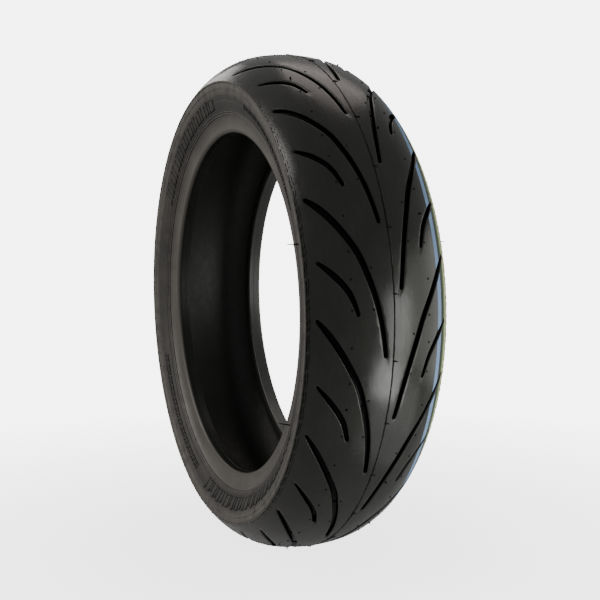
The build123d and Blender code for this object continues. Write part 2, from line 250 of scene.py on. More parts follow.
class Groove:
    """A groove as closed rings round its middle line, from the lip down to the floor."""

    lip = 0.65
    lip_leans = (0, 0.75, 1.43)
    floor_fillet = 0.9
    # Distances of the fillet's middle from wall and floor, as shares of it
    fillet_middle = (0.26, 0.28)
    tip_round = 2.6
    tip_shares = (0.02, 0.12, 0.3, 0.6)
    ring_step = 2.6
    # Shares of the depth and the inset at the ends
    tip_depth = 0.4
    end_depth = 0.6
    end_inset = 0.8
    narrowest = 0.12
    flat_floor = 0.4
    # How far rings may pass the ends, and where the direction is read
    overrun = 2.0
    aim_margin = 0.6
    aim_reach = 0.5

    def __init__(self, points):
        rows = curve_rows(points)
        radii = [tread_point(d)[1] for d in (rows[1:, 1] + rows[:-1, 1]) / 2]
        across = np.radians(np.diff(rows[:, 0])) * radii
        steps = np.hypot(across, np.diff(rows[:, 1]))
        self.rows = rows
        self.run = np.concatenate([[0], np.cumsum(steps)])
        self.length = self.run[-1]
        self.end_round = points[-1][2] / 2
        self.stations = self.spread()
        self.rings = [self.ring(out, deep) for out, deep in self.profile()]

    def profile(self):
        """(inset from the lip's edge, depth) of each ring."""
        low = groove_depth - self.floor_fillet
        wall = tan(wall_draft) * (low - self.lip)
        in_fillet, over_floor = (share * self.floor_fillet for share in self.fillet_middle)
        return [
            *[(-self.lip + self.lip * sin(a), self.lip * (1 - cos(a))) for a in self.lip_leans],
            (wall, low),
            (wall + in_fillet, groove_depth - over_floor),
            (wall + self.floor_fillet, groove_depth),
        ]

    def spread(self):
        """Places along the middle line, closer together at the rounded ends."""
        first = [self.tip_round * s for s in self.tip_shares]
        last = [self.length - self.end_round * s for s in reversed(self.tip_shares)]
        count = ceil((last[0] - first[-1] - self.ring_step) / self.ring_step)
        middle = np.linspace(first[-1], last[0], count + 1)[1:-1]
        return [*first, *middle, *last]

    def half_width(self, place):
        """Half the groove's width between the lip's edges."""
        half = np.interp(place, self.run, self.rows[:, 2]) / 2
        for room, size in ((place, self.tip_round), (self.length - place, self.end_round)):
            if room < size:
                half *= sqrt(max(1 - (1 - room / size) ** 2, 0))
        return half

    def middle(self, place):
        """(angle, distance) of a place on the middle line."""
        return [np.interp(place, self.run, self.rows[:, i]) for i in (0, 1)]

    def at(self, place, side_step):
        """(angle, distance) a step to one side of the middle line."""
        place = min(max(place, -self.overrun), self.length + self.overrun)
        angle, distance = self.middle(place)
        here = min(max(place, self.aim_margin), self.length - self.aim_margin)
        a0, d0 = self.middle(here - self.aim_reach)
        a1, d1 = self.middle(here + self.aim_reach)
        radius = tread_point(distance)[1]
        ahead = np.array([radians(a1 - a0) * radius, d1 - d0])
        ahead /= np.hypot(*ahead)
        beyond = place - min(max(place, 0.0), self.length)
        angle += degrees((ahead[0] * beyond - ahead[1] * side_step) / radius)
        return angle, distance + ahead[1] * beyond + ahead[0] * side_step

    def ring(self, inset, depth):
        """One closed ring: outer tip, one side, inner end and back up the other side."""
        full = tan(wall_draft) * groove_depth + self.floor_fillet + self.flat_floor
        shift = inset + self.lip
        sides = []
        for place in self.stations:
            half = self.half_width(place)
            share = min(1.0, half / full)
            pull = max(0, 1 - place / self.tip_round)
            push = max(0, 1 - (self.length - place) / self.end_round)
            spot = place + shift * (pull - push) * self.end_inset
            deep = depth * (self.tip_depth + (1 - self.tip_depth) * share)
            sides.append((spot, max(half - inset * share, self.narrowest * half), deep))
        tip = (self.at(self.end_inset * shift - self.lip, 0.0), depth * self.tip_depth)
        beyond = self.length + self.lip - self.end_inset * shift
        end = (self.at(beyond, 0.0), depth * self.end_depth)
        left = [(self.at(spot, half), deep) for spot, half, deep in sides]
        right = [(self.at(spot, -half), deep) for spot, half, deep in reversed(sides)]
        return [tip, *left, end, *right]


# One pitch is meshed flat, between two cuts that lean with the pattern and miss its grooves
flat_radius = 300.0
cut_start = -6.0
columns = 24
shear_slope = 0.18
shear_curve = 0.0013
tread_spacing = 3.6
paint_spacing = 2.6
# Gaps between points as shares of the spacing
first_share = 0.8
last_row_share = 0.5
last_point_share = 0.6
row_share = 0.87
stagger = 0.5
clear_share = 0.45


def shear(distance):
    """How far the pattern leans forward of the tread edge, in degrees."""
    inward = edge_distance - abs(distance)
    return shear_slope * inward + shear_curve * inward**2


def flat(angle, distance):
    """Flat coordinates of a point of one pitch, with the cuts along straight lines."""
    return (radians(angle - shear(distance)) * flat_radius, distance)


def unflat(x, distance):
    """Angle and distance of a point in flat coordinates."""
    return degrees(x / flat_radius) + shear(distance), distance


def pitch_grooves():
    """The two grooves of one pitch, with the angle each is moved by."""
    base = shear(long_groove[0][1])
    return [(Groove(long_groove), base), (Groove(short_groove), base + short_groove_lag)]


def lip_outlines(grooves):
    """The grooves' outermost rings in flat coordinates."""
    return [
        np.array([flat(a + move, d) for (a, d), _ in groove.rings[0]]) for groove, move in grooves
    ]


def inside(points, outline):
    """For each point, whether it lies inside a closed outline."""
    hits = np.zeros(len(points), bool)
    x, y = points[:, 0], points[:, 1]
    for (x0, y0), (x1, y1) in zip(outline, np.roll(outline, -1, axis=0)):
        crosses = (y0 > y) != (y1 > y)
        if y1 != y0:
            hits ^= crosses & (x < (x1 - x0) * (y - y0) / (y1 - y0) + x0)
    return hits


def gap_to(points, outline):
    """Distance from each point to a closed outline."""
    best = np.full(len(points), np.inf)
    for a, b in zip(outline, np.roll(outline, -1, axis=0)):
        run = b - a
        share = np.clip(((points - a) @ run) / max(run @ run, 1e-12), 0, 1)
        best = np.minimum(best, np.hypot(*(points - a - share[:, None] * run).T))
    return best


def loose_points(low, high, left, width, spacing, outlines):
    """Staggered points that fill a panel, clear of its border and of the outlines."""
    last_row = high - spacing * last_row_share
    last_point = left + width - spacing * last_point_share
    loose = []
    for i, d in enumerate(np.arange(low + spacing * first_share, last_row, spacing * row_share)):
        start = left + spacing * (first_share + stagger * (i % 2))
        loose += [(x, d) for x in np.arange(start, last_point, spacing)]
    loose = np.array(loose).reshape(-1, 2)
    keep = np.ones(len(loose), bool)
    for outline in outlines:
        keep &= ~inside(loose, outline)
        keep &= gap_to(loose, outline) > spacing * clear_share
    return loose[keep]


def panel(low, high, spacing, outlines):
    """Flat triangles that fill one pitch between two distances, less the outlines."""
    left = radians(cut_start) * flat_radius
    width = radians(pitch_angle) * flat_radius
    rows = list(np.linspace(low, high, ceil((high - low) / spacing) + 1))
    across = [left + width * i / columns for i in range(columns + 1)]
    border = [(x, low) for x in across]
    border += [(across[-1], d) for d in rows[1:-1]]
    border += [(x, high) for x in reversed(across)]
    border += [(left, d) for d in reversed(rows[1:-1])]
    points, edges = [], []
    for loop in [np.array(border)] + outlines:
        first = len(points)
        points += [Vector(p) for p in loop]
        edges += [(first + i, first + (i + 1) % len(loop)) for i in range(len(loop))]
    points += [Vector(p) for p in loose_points(low, high, left, width, spacing, outlines)]
    found, _, faces, _, _, _ = delaunay_2d_cdt(points, edges, [], 0, tiny)
    found = np.array([tuple(p) for p in found])
    middles = np.array([found[list(f)].mean(axis=0) for f in faces])
    good = inside(middles, np.array(border))
    for outline in outlines:
        good &= ~inside(middles, outline)
    return found, [tuple(f) for f, ok in zip(faces, good) if ok]


def pitch_mesh():
    """(angle, distance, depth) points and faces of one pitch of one half of the tread."""
    grooves = pitch_grooves()
    found, faces = panel(0.0, edge_distance, tread_spacing, lip_outlines(grooves))
    points = [(*unflat(x, d), 0.0) for x, d in found]
    for groove, move in grooves:
        first, size = len(points), len(groove.rings[0])
        for ring in groove.rings:
            points += [(a + move, d, deep) for (a, d), deep in ring]
        faces += lofted(first, len(groove.rings), size)
        floor = first + (len(groove.rings) - 1) * size
        for i in range(size // 2):
            corners = (floor + i, floor + i + 1, floor + size - i - 1, floor + (size - i) % size)
            faces.append(tuple(dict.fromkeys(corners)))
    return points, faces


def side_start(side):
    """Angle of the first pitch; the +Y half is half a pitch on."""
    return first_groove - shear(long_groove[0][1]) + (pitch_angle / 2 if side > 0 else 0.0)


def place_pitches(points, faces, sides, height=0.0):
    """All pitches of the given halves in space."""
    verts, polys = [], []
    for side in sides:
        for k in range(pitches):
            first = len(verts)
            start = side_start(side) + k * pitch_angle
            for angle, distance, depth in points:
                across = side * distance if distance > tiny else 0.0
                verts.append(turned(*tread_point(across, height - depth), start + angle))
            polys += [tuple(first + i for i in face) for face in faces]
    return verts, polys


edge_lip = 0.3


def tread_underside():
    """(y, r) rows that close the tread from one edge to the other underneath."""
    edge, lip, low = (
        along(shoulder_centre, edge_lean, shoulder_radius - depth)
        for depth in (0.0, edge_lip, cap_depth)
    )
    half = [edge, (lip[0] + edge_lip / 2, lip[1] - edge_lip / 2), low]
    half += arc(shoulder_centre, shoulder_radius - cap_depth, edge_lean, crown_lean, 12)[1:]
    half += arc(crown_centre, crown_radius - cap_depth, crown_lean, 0.0, 6)[1:]
    return half + mirrored(reversed(half[:-1]))


def tread(material):
    """The running rubber with its grooves."""
    verts, faces = place_pitches(*pitch_mesh(), (-1, 1))
    rows = tread_underside()
    around = columns * pitches
    faces += lofted(len(verts), len(rows), around)
    start = side_start(1) + shear(edge_distance) + cut_start
    for y, r in rows:
        verts += [turned(y, r, start + 360.0 * i / around) for i in range(around)]
    piece_from(
        "tread", verts, faces, ["tread_cap"], material, smooth_angle=50.0
    )


paint_height = 0.07
paint_thickness = 0.15


def painted_stripe(node, low, high, material):
    """A film of paint on the +Y shoulder, broken by the grooves."""
    found, faces = panel(low, high, paint_spacing, lip_outlines(pitch_grooves()))
    points = [(*unflat(x, d), 0.0) for x, d in found]
    verts, polys = place_pitches(points, faces, (1,), paint_height)
    slot = node.replace("stripe", "paint")
    piece_from(f"{slot}_film", verts, polys, [node], material, paint_thickness)


# ---------- sidewalls, beads and inside ----------

# (radius, width, height) of raised or sunk rings, and (radius, rise, run) of steps going outward
sidewall_rings = [
    (239.2, 1.2, 0.5), (242.0, 1.2, 0.45), (244.4, 0.9, -0.3),
    (270.6, 0.8, -0.35), (276.9, 1.0, -0.4), (278.3, 1.3, 0.45),
]
sidewall_steps = [(245.6, -0.3, 0.8), (255.4, -0.25, 0.7), (262.0, 0.25, 0.7), (269.0, 0.4, 0.8)]
ring_flank = 2.5
wall_edge_gap = 0.35
outer_rows = 150
inner_rows = 24
wall_segments = 480


def relief(r):
    """Height of the moulded rings of the sidewall at radius r."""
    height = 0.0
    for centre, width, size in sidewall_rings:
        away = abs(r - centre) / (width / 2)
        if away < 1:
            height += size * min(1.0, (1 - away) * ring_flank)
    for edge, step, run in sidewall_steps:
        share = min(max((r - edge) / run + 0.5, 0), 1)
        height += step * share * share * (3 - 2 * share)
    return height


def sidewall_outline():
    """Closed section of the sidewall's skin on the +Y side."""
    low, high = flange_top[1], tread_edge[1] - wall_edge_gap
    outer = [wall_point(r, relief(r)) for r in np.linspace(low, high, outer_rows)]
    inner = [wall_point(r, -skin) for r in np.linspace(high, low, inner_rows)]
    return outer + inner


cushion_thickness = 3.6
foot_drop = 1.6
ripple_height = 0.12
ripple_rate = 2.4
ripple_low = 226.0
ripple_high = 237.0


def flange_curve(steps):
    """The hollow face that the rim flange fits, from its flat foot to the sidewall."""
    rise = flange_top[1] - flange_flat_top
    out = flange_top[0] - heel_half_width
    bend = (out**2 + rise**2) / (2 * out)
    turn = atan2(rise, bend - out)
    centre = (heel_half_width + bend, flange_flat_top)
    angles = [turn * i / steps for i in range(steps + 1)]
    return [(centre[0] - bend * cos(a), centre[1] + bend * sin(a)) for a in angles]


def cushion_outline():
    """Closed section of the rubber behind the rim flange, faintly rippled."""
    face = [(heel_half_width, r) for r in (seat_radius + heel_radius, flange_flat_top - foot_drop)]
    face += flange_curve(20)
    marked = [
        (y + ripple_height * sin(r * ripple_rate) * (ripple_low < r < ripple_high), r)
        for y, r in face
    ]
    return marked + [(y - cushion_thickness, r) for y, r in reversed(face)]


# (y, height above the seat) of a bead base: toe lip, seat with its fine ring, and hidden face
toe_lip = ((toe_half_width, 7.0), (toe_half_width, 4.0))
seat_line = ((51.0, 0.0), (53.6, 0.0), (54.0, 0.25), (54.4, 0.0), (58.0, 0.0))
bead_back = (
    (60.6, heel_radius), (59.6, 2.0), (57.4, 0.95), (51.2, 0.95), (48.9, 2.0),
    (48.15, 4.0), (48.15, 7.0),
)


def over_seat(line):
    """(y, r) points from heights above the seat."""
    return [(y, seat_radius + height) for y, height in line]


def bead_outline():
    """Closed section of the bead base, from the toe lip round to the heel."""
    heel_centre = (heel_half_width - heel_radius, seat_radius + heel_radius)
    toe_centre = (toe_half_width + toe_radius, seat_radius + toe_radius)
    toe = arc(toe_centre, toe_radius, radians(270), radians(180), 6)
    heel = arc(heel_centre, heel_radius, radians(180), radians(90), 8)
    return over_seat(toe_lip) + toe + over_seat(seat_line) + heel + over_seat(bead_back)


# The carcass under the tread, its bend beside the bead filler and its bend into the bead
casing_depth = 10.2
casing_thickness = 2.0
bend_centre = (57.70, 264.58)
bend_radius = 20.0
bend_start = radians(48)
bend_end = radians(140)
entry_centre = (54.2, 230.32)
entry_radius = 4.0
entry_end = radians(90)


def liner_half(inset):
    """(y, r) of the skin inside the carcass, from the crown to the toe lip of the +Y bead."""
    depth = casing_depth + casing_thickness + inset
    points = arc(crown_centre, crown_radius - depth, 0.0, crown_lean, 5)
    points += arc(shoulder_centre, shoulder_radius - depth, crown_lean, bend_start, 14)[1:]
    points += arc(bend_centre, bend_radius - casing_thickness - inset, bend_start, bend_end, 18)[1:]
    entry = entry_radius + casing_thickness + inset
    points += arc(entry_centre, -entry, bend_end, entry_end, 7)
    points.append((entry_centre[0] - entry, seat_radius + toe_lip[0][1]))
    return points


def liner_outline():
    """Closed section of the inner liner from bead to bead."""
    outer, inner = liner_half(0.05), liner_half(1.0)
    return mirrored(reversed(outer)) + outer[1:] + list(reversed(inner)) + mirrored(inner[1:])


def side_name(side):
    """Name of the +Y side or the -Y side."""
    return "right" if side > 0 else "left"


def on_side(outline, side):
    """The +Y outline, or its mirror image."""
    return outline if side > 0 else mirrored(outline)


ring_smooth_angle = 32.0


def ring_piece(name, outline, nodes, material, segments=360):
    """A revolved section as a piece."""
    verts, faces = revolved(outline, segments)
    piece_from(name, verts, faces, nodes, material, smooth_angle=ring_smooth_angle)


# Rows of blank raised bars: lowest and highest radius, start, sweep, size of the bars
marking_rows = [
    (246.8, 260.6, 303.0, 50.0, 1.0),
    (246.8, 261.6, 120.0, 76.0, 1.0),
    (247.6, 259.4, 354.0, 3.0, 2.0),
    (254.6, 259.6, 22.0, 42.0, 0.45),
    (251.4, 257.4, 204.0, 46.0, 0.5),
]
# (width, gap after it, share of the row's height cut off), taken in turn
bar_shapes = (
    (7.2, 4.0, 0.0), (3.6, 3.4, 0.1), (5.8, 5.6, 0.0), (3.4, 3.2, 0.25), (8.6, 4.4, 0.05),
    (4.2, 6.4, 0.0), (6.4, 3.8, 0.12),
)
# (inset, height) of a bar's rings, from the sunk foot of its skirt to its top
bar_rings = ((-1.0, -0.35), (-1.0, 0.05), (0.0, 0.08), (0.7, 0.9))
bar_corners = 16
bar_lean = 0.35
bar_round = 0.35
most_inset = 0.22


def marking_bar(low, high, angle, width):
    """A leaning blank bar, as rings of (y, r, angle) from its sunk foot to its top."""
    middle = (low + high) / 2
    tall = (high - low) / 2
    rings = []
    for inset, height in bar_rings:
        inset = min(inset, width * most_inset)
        half, rise = width / 2 - inset, tall - inset
        corner = min(half, rise) * bar_round
        outline = []
        for turn in range(bar_corners):
            a = 2 * pi * (turn + 0.5) / bar_corners
            u = (half - corner) * (1 if cos(a) > 0 else -1) + corner * cos(a)
            v = (rise - corner) * (1 if sin(a) > 0 else -1) + corner * sin(a)
            y, r = wall_point(middle + v, height + relief(middle + v))
            outline.append((y, r, angle + degrees((u + bar_lean * v) / middle)))
        rings.append(outline)
    return rings


def marking_bars(side, material):
    """The blank bars of one sidewall."""
    verts, faces = [], []
    for low, high, start, sweep, size in marking_rows:
        middle = (low + high) / 2
        spot, number = 0.0, 0
        while spot < radians(sweep) * middle:
            width, gap, cut = bar_shapes[number % len(bar_shapes)]
            angle = start + degrees((spot + width * size / 2) / middle)
            rings = marking_bar(low, high - cut * (high - low), angle, width * size)
            faces += capped(len(verts), len(rings), bar_corners)
            verts += [turned(side * y, r, a) for ring in rings for y, r, a in ring]
            spot += (width + gap) * size
            number += 1
    name = side_name(side)
    piece_from(
        f"bars_{name}", verts, faces, [f"marking_panels_{name}"], material
    )


def tube(points, radii, sides):
    """Vertices of the rings of a tapered tube through points, all in metres."""
    verts = []
    points = [Vector(p) for p in points]
    for i, point in enumerate(points):
        ahead = (points[min(i + 1, len(points) - 1)] - points[max(i - 1, 0)]).normalized()
        first = ahead.orthogonal().normalized()
        second = ahead.cross(first)
        for k in range(sides):
            turn = 2 * pi * k / sides
            verts.append(tuple(point + radii[i] * (first * cos(turn) + second * sin(turn))))
    return verts


# (angle from the top, radius on the sidewall, way it bends) of each hair
hair_seats = ((73.5, 270.0, (0.0, -0.1, 1.1)), (120.5, 244.0, (0.776888, -0.1, -0.141729)))
hair_length = 13.0
hair_curl = 1.6
hair_root = 0.3
hair_radius = 0.85
hair_taper = 0.4
hair_spans = 8
hair_sides = 8


def whiskers(side, material):
    """Thin rubber hairs that stand out of one sidewall."""
    verts, faces = [], []
    for angle, seat, bend in hair_seats:
        foot = Vector((0.0, *wall_point(seat, -hair_root)))
        out = Vector((0.0, foot.y - wall_centre[0], foot.z - wall_centre[1])).normalized()
        spin = Matrix.Rotation(radians(angle), 3, "Y")
        points, radii = [], []
        for k in range(hair_spans + 1):
            share = k / hair_spans
            x, y, z = foot + out * hair_length * share + Vector(bend) * share * share * hair_curl
            points.append(spin @ Vector((x, side * y, z)) * MM)
            radii.append((hair_radius - hair_taper * share) * MM)
        faces += capped(len(verts), len(points), hair_sides)
        verts += tube(points, radii, hair_sides)
    piece_from(f"hairs_{side_name(side)}", verts, faces, [], material)


# (angle after the long groove's outer end, distance)
vent_places = [(16.0, 24.0), (23.9, 23.0), (5.5, 46.2), (12.6, 46.2), (18.0, 46.2), (24.0, 46.2)]
vent_corners = 10
# (radius, height) of a stub's rings: its foot, its usual top and its tall top
vent_foot = ((1.35, -0.3), (1.25, 0.2))
vent_top = (0.8, 0.6)
tall_vent_top = (0.45, 2.6)
tall_vent_every = 9
first_tall_vent = 4


def tread_vents(material):
    """Small stubs on the tread blocks, a few of them taller."""
    verts, faces, places = [], [], []
    for side in (-1, 1):
        base = first_groove + (pitch_angle / 2 if side > 0 else 0.0)
        for k in range(pitches):
            places += [(base + lag + k * pitch_angle, side * far) for lag, far in vent_places]
    for number, (angle, distance) in enumerate(places):
        tall = number % tall_vent_every == first_tall_vent
        rings = (*vent_foot, tall_vent_top if tall else vent_top)
        faces += capped(len(verts), len(rings), vent_corners)
        for radius, height in rings:
            for k in range(vent_corners):
                turn = 2 * pi * k / vent_corners
                y, r = tread_point(distance + radius * sin(turn), height)
                verts.append(turned(y, r, angle + degrees(radius * cos(turn) / r)))
    piece_from("vent_stubs", verts, faces, ["tread_vents"], material)


flash_steps = 1440
flash_root = 0.2
flash_top_share = 0.6
flash_ticks = 2 * pitches
first_tick = 8.15
# Length across the crown of even and odd ticks
tick_lengths = (6.0, 4.8)
tick_radii = (1.0 * MM, 0.8 * MM, 0.3 * MM)
tick_sides = 6
tick_slant = 0.12


def crown_flash(material):
    """The uneven ridge of the mould's parting line, with a short tick at each half pitch."""
    verts = []
    for i in range(flash_steps):
        angle = 360.0 * i / flash_steps
        swell = 0.5 + 0.25 * sin(i * 0.83) * sin(i * 0.291) + 0.25 * sin(i * 0.117)
        half, high = 0.6 + 0.5 * swell, 0.15 + 0.5 * swell
        wander = 0.18 * sin(i * 0.47) * sin(i * 0.061)
        top = half * flash_top_share
        for y, height in ((-half, -flash_root), (-top, high), (top, high), (half, -flash_root)):
            verts.append(turned(y + wander, outer_radius + height, angle))
    faces = lofted(0, flash_steps, 4, closed=True)
    for i in range(flash_ticks):
        angle = first_groove + first_tick + i * 360.0 / flash_ticks
        reach = tick_lengths[i % 2]
        ends = [tread_point(-0.8, 0.25), tread_point(reach * 0.6, 0.35), tread_point(reach, 0.1)]
        points = [turned(y, r, angle + tick_slant * k) for k, (y, r) in enumerate(ends)]
        faces += capped(len(verts), len(points), tick_sides)
        verts += tube(points, tick_radii, tick_sides)
    piece_from("parting_flash", verts, faces, [], material)


# (distance inside the tread edge, half width, greatest height) of the ragged ridges
edge_ridges = ((1.2, 0.8, 1.2), (3.8, 0.5, 0.9))
ridge_steps = 1200
ridge_root = 0.5
ragged_middle = 95.0
far_side_share = 0.5


def edge_flash(side, material):
    """Two ragged ridges at the edge of the tread, high in one sector."""
    verts, faces = [], []
    for row, (inward, half, most) in enumerate(edge_ridges):
        faces += lofted(len(verts), ridge_steps, 4, closed=True)
        for i in range(ridge_steps):
            angle = 360.0 * i / ridge_steps
            sector = max(0.0, cos(radians(angle - ragged_middle))) ** 2
            swell = 0.4 + 0.4 * sin(i * 0.71 + row) * sin(i * 0.237) + 0.3 * sin(i * 1.31 + 2 * row)
            high = most * swell * (0.1 + 0.9 * sector) - 0.35 * (1 - sector)
            high *= 1.0 if side < 0 else far_side_share
            middle = edge_distance - inward + 0.6 * sin(i * 0.31 + row) * sin(i * 0.053)
            top = half * 0.5
            section = ((half, -ridge_root), (top, high), (-top, high), (-half, -ridge_root))
            for out, height in section:
                y, r = tread_point(middle + out, height)
                verts.append(turned(side * y, r, angle))
    name = f"edge_flash_{side_name(side)}"
    piece_from(name, verts, faces, [], material)


# ---------- materials ----------

def shader(name):
    """A new material with only its Principled shader and output."""
    material = bpy.data.materials.new(name)
    material.use_nodes = True
    tree = material.node_tree
    return material, tree, tree.nodes["Principled BSDF"]


def connect(tree, socket, value):
    """Link an input to a socket, or set it to a value."""
    if isinstance(value, bpy.types.NodeSocket):
        tree.links.new(value, socket)
    else:
        socket.default_value = value


def add(tree, kind, inputs=(), **settings):
    """A node with its settings, and its inputs set or linked."""
    node = tree.nodes.new(kind)
    for key, value in settings.items():
        setattr(node, key, value)
    for key, value in dict(inputs).items():
        connect(tree, node.inputs[key], value)
    return node


def math(tree, operation, a, b=0.0):
    """The result of one Math node."""
    return add(tree, "ShaderNodeMath", {0: a, 1: b}, operation=operation).outputs[0]


def here(tree):
    """Place in object space."""
    return add(tree, "ShaderNodeTexCoord").outputs["Object"]


def noise(tree, scale, detail=4.0, rough=0.55, place=None):
    """Noise in object space; scale is per metre."""
    inputs = {"Vector": place or here(tree), "Scale": scale, "Detail": detail, "Roughness": rough}
    return add(tree, "ShaderNodeTexNoise", inputs).outputs["Fac"]


def streaks(tree, scale, length):
    """Noise drawn out round the tyre, `length` times as long as it is wide."""
    sizes = (scale / length, scale, scale / length)
    place = add(tree, "ShaderNodeMapping", {"Vector": here(tree), "Scale": sizes})
    return noise(tree, 1.0, rough=0.5, place=place.outputs["Vector"])


def spread(tree, value, low, high, to_low, to_high):
    """A value stretched from one range to another."""
    ranges = {"From Min": low, "From Max": high, "To Min": to_low, "To Max": to_high}
    return add(tree, "ShaderNodeMapRange", {"Value": value, **ranges}).outputs["Result"]


def blend(tree, share, first, second):
    """A colour between two colours."""
    node = add(tree, "ShaderNodeMix", {0: share, 6: first, 7: second}, data_type="RGBA")
    return node.outputs[2]


def colour(red, green, blue):
    """An opaque colour."""
    return (red, green, blue, 1.0)


def axis_places(tree):
    """Distance along the spin axis and radius from it, in metres."""
    x, y, z = add(tree, "ShaderNodeSeparateXYZ", {0: here(tree)}).outputs
    squares = math(tree, "ADD", math(tree, "MULTIPLY", x, x), math(tree, "MULTIPLY", z, z))
    return y, math(tree, "SQRT", squares)


def away_from(tree, centre):
    """Distance from a (y, r) centre of the same side, and from the middle plane."""
    y, radius = axis_places(tree)
    out = math(tree, "ABSOLUTE", y)
    across = math(tree, "SUBTRACT", out, centre[0] * MM)
    up = math(tree, "SUBTRACT", radius, centre[1] * MM)
    squares = math(tree, "ADD", math(tree, "POWER", across, 2.0), math(tree, "POWER", up, 2.0))
    return math(tree, "SQRT", squares), out


rubber_specular = 0.42
bump_strength = 0.7
bump_depth = 0.07 * MM

line_black = colour(0.004, 0.004, 0.004)
# Painted shade for the insides of the grooves
groove_painted_shade = colour(0.0012, 0.0012, 0.0012)
parting_black = colour(0.002, 0.002, 0.002)
# Painted shade at the foot of the marking bars' flanks
flank_painted_shade = colour(0.004, 0.0038, 0.0035)
streak_grey = colour(0.011, 0.0114, 0.01)
patch_grey = colour(0.017, 0.0155, 0.014)
edge_grey = colour(0.09, 0.084, 0.075)
heel_grey = colour(0.072, 0.067, 0.06)
worn_grey = colour(0.03, 0.03, 0.03)

Rubber = namedtuple("Rubber", "material tree surface tone height bump")


def rubber(name, dark, light, roughness, uneven=0.07, dust=None):
    """Moulded rubber: cloudy tone, fine grain and uneven gloss."""
    material, tree, surface = shader(name)
    cloud = noise(tree, 22.0)
    fine = noise(tree, 620.0, 3.0)
    mixed = math(tree, "ADD", cloud, math(tree, "MULTIPLY", fine, 0.35))
    tone = blend(tree, spread(tree, mixed, 0.45, 0.9, 0.0, 1.0), colour(*dark), colour(*light))
    if dust:
        speck = spread(tree, noise(tree, 260.0, 6.0, 0.7), 0.6, 0.72, 0.0, 0.55)
        tone = blend(tree, speck, tone, colour(*dust))
    connect(tree, surface.inputs["Base Color"], tone)
    cloud = noise(tree, 90.0, 5.0)
    gloss = spread(tree, cloud, 0.35, 0.65, roughness - uneven, roughness + uneven)
    connect(tree, surface.inputs["Roughness"], gloss)
    connect(tree, surface.inputs["Specular IOR Level"], rubber_specular)
    coarse = math(tree, "MULTIPLY", noise(tree, 210.0), 1.5)
    height = math(tree, "ADD", noise(tree, 1500.0, 2.0), coarse)
    settings = {"Height": height, "Strength": bump_strength, "Distance": bump_depth}
    bump = add(tree, "ShaderNodeBump", settings)
    connect(tree, surface.inputs["Normal"], bump.outputs["Normal"])
    return Rubber(material, tree, surface, tone, height, bump)


def flash_rubber():
    """Thin flash that shines little, near black: partly painted shade, so the vent stubs show as
    dark dots with their shadow.
    """
    look = rubber("flash_rubber", (0.002, 0.002, 0.002), (0.005, 0.005, 0.005), 0.6)
    connect(look.tree, look.surface.inputs["Specular IOR Level"], 0.12)
    return look.material


def bead_base(name, dark, light, shine):
    """Smooth rubber of a bead base, pale at the heel."""
    look = rubber(name, dark, light, 0.33, 0.03)
    tree, inputs = look.tree, look.surface.inputs
    y, _ = axis_places(tree)
    heel = spread(tree, math(tree, "ABSOLUTE", y), 61.2 * MM, 63.2 * MM, 0.0, 1.0)
    connect(tree, inputs["Base Color"], blend(tree, heel, look.tone, heel_grey))
    connect(tree, inputs["Specular IOR Level"], shine)
    return look.material


def tread_depth(tree):
    """Depth below the running surface, in metres."""
    from_crown, out = away_from(tree, crown_centre)
    from_shoulder, _ = away_from(tree, shoulder_centre)
    crown = math(tree, "SUBTRACT", crown_radius * MM, from_crown)
    shoulder = math(tree, "SUBTRACT", shoulder_radius * MM, from_shoulder)
    on_shoulder = math(tree, "GREATER_THAN", out, crown_radius * sin(crown_lean) * MM)
    step = math(tree, "SUBTRACT", shoulder, crown)
    return math(tree, "ADD", crown, math(tree, "MULTIPLY", step, on_shoulder))


def tread_rubber():
    """Tread rubber, streaked, with a broken dark line round the crown, and painted shade that turns
    the grooves black.
    """
    look = rubber("tread_rubber", (0.0142, 0.0148, 0.0128), (0.0248, 0.025, 0.0214), 0.24, 0.03)
    tree, inputs = look.tree, look.surface.inputs
    drawn = spread(tree, streaks(tree, 260.0, 5.0), 0.3, 0.7, 0.0, 1.0)
    tone = blend(tree, math(tree, "MULTIPLY", drawn, 0.5), look.tone, streak_grey)
    gloss = spread(tree, math(tree, "ADD", drawn, noise(tree, 35.0)), 0.4, 1.2, 0.13, 0.24)
    connect(tree, inputs["Roughness"], gloss)
    y, _ = axis_places(tree)
    wander = spread(tree, noise(tree, 60.0, 3.0), 0.3, 0.7, -0.4 * MM, 0.4 * MM)
    away = math(tree, "ABSOLUTE", math(tree, "ADD", y, wander))
    line = spread(tree, away, 0.4 * MM, 0.9 * MM, 1.0, 0.0)
    broken = spread(tree, noise(tree, 45.0, 4.0), 0.38, 0.55, 0.35, 1.0)
    line = math(tree, "MULTIPLY", line, broken)
    tone = blend(tree, line, tone, parting_black)
    # Painted shade: with depth below the running surface the grooves turn near black and reflect
    # less, standing in for the shade inside them.
    groove_shade_mask = spread(tree, tread_depth(tree), 0.6 * MM, 2.5 * MM, 0.0, 1.0)
    connect(tree, inputs["Base Color"], blend(tree, groove_shade_mask, tone, groove_painted_shade))
    shine = spread(tree, groove_shade_mask, 0.0, 1.0, rubber_specular, 0.08)
    connect(tree, inputs["Specular IOR Level"], shine)
    ridge = math(tree, "ADD", look.height, math(tree, "MULTIPLY", line, 3.5))
    connect(tree, look.bump.inputs["Height"], ridge)
    return look.material


# (radius, half width, darkness, wander) of the dark lines left by the mould on the sidewall
mould_lines = [
    (238.6, 0.45, 0.8, 0.0), (241.2, 0.35, 0.6, 0.0), (243.6, 0.3, 0.5, 0.0),
    (270.2, 0.6, 0.45, 0.8), (277.2, 0.5, 0.7, 0.0),
]
turned_ring_pitch = 1.1 * MM


